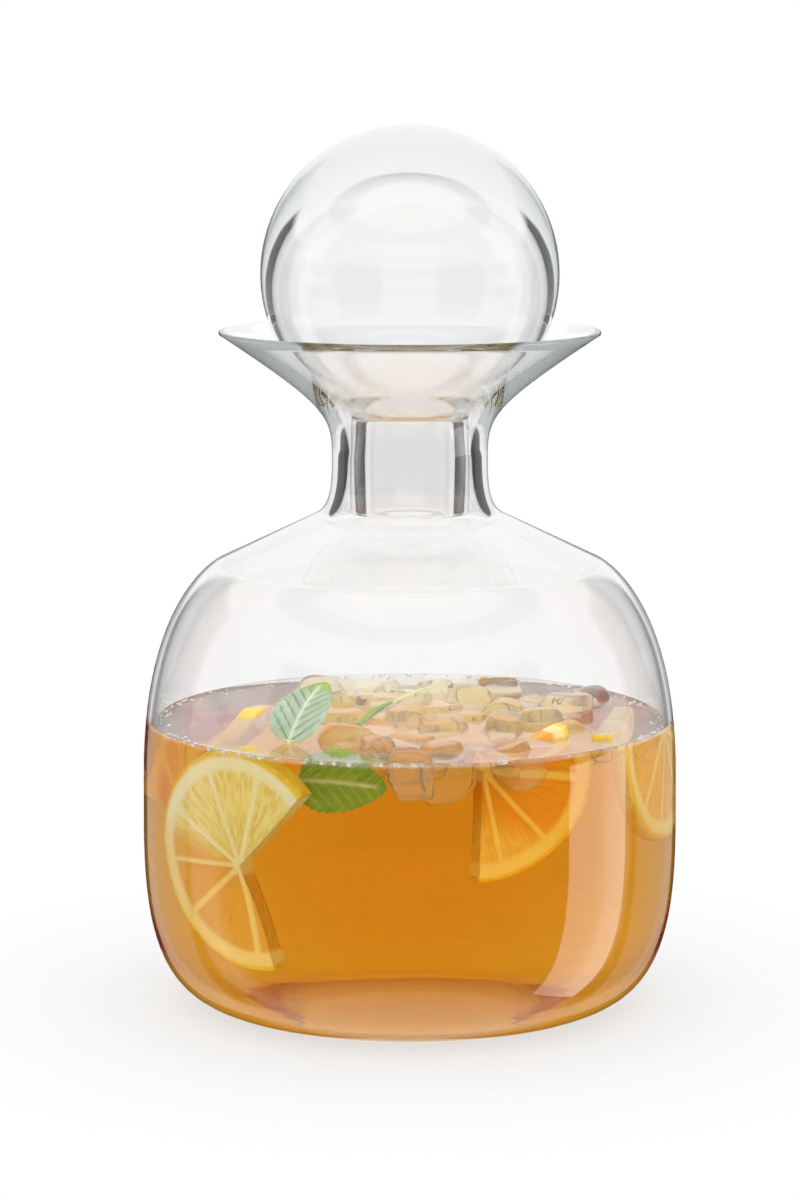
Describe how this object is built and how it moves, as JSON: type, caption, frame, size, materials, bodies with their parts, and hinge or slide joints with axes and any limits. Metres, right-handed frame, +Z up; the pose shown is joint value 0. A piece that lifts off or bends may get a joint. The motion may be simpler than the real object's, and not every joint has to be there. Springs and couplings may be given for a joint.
{
  "type": "glass carafe",
  "caption": "Round glass carafe with a sloping shoulder, waisted neck, funnel mouth and hollow ball stopper, holding iced tea with ice, lemon and mint.",
  "frame": {"origin": "the middle of the base, on the surface that the carafe stands on", "axes": "+Z up along the carafe's axis, -Y towards the viewer of the picture, +X to that viewer's right"},
  "size_m": [0.1422, 0.1422, 0.2324],
  "materials": {
    "clear_glass": "polished",
    "iced_tea": "gloss",
    "ice": "gloss",
    "lemon": "satin",
    "mint": "satin"
  },
  "bodies": {
    "carafe": {"carafe_body": "clear_glass", "ice_cube_1": "ice", "ice_cube_10": "ice", "ice_cube_11": "ice", "ice_cube_12": "ice", "ice_cube_13": "ice", "ice_cube_14": "ice", "ice_cube_15": "ice", "ice_cube_16": "ice", "ice_cube_17": "ice", "ice_cube_18": "ice", "ice_cube_19": "ice", "ice_cube_2": "ice", "ice_cube_20": "ice", "ice_cube_21": "ice", "ice_cube_22": "ice", "ice_cube_23": "ice", "ice_cube_24": "ice", "ice_cube_25": "ice", "ice_cube_26": "ice", "ice_cube_27": "ice", "ice_cube_3": "ice", "ice_cube_4": "ice", "ice_cube_5": "ice", "ice_cube_6": "ice", "ice_cube_7": "ice", "ice_cube_8": "ice", "ice_cube_9": "ice", "iced_tea": "iced_tea", "lemon_half_slice_right": "lemon", "lemon_slice_front": "lemon", "lemon_slice_left": "lemon", "lemon_third_slice": "lemon", "mint_leaf_leaning": "mint", "mint_leaf_sunken": "mint", "mint_leaf_upright": "mint"},
    "stopper": {"ball_stopper": "clear_glass"}
  },
  "joints": [
    {"name": "stopper_lift", "type": "slide", "parent": "carafe", "child": "stopper", "axis": [0, 0, 1], "range_m": [0, 0.08]}
  ]
}
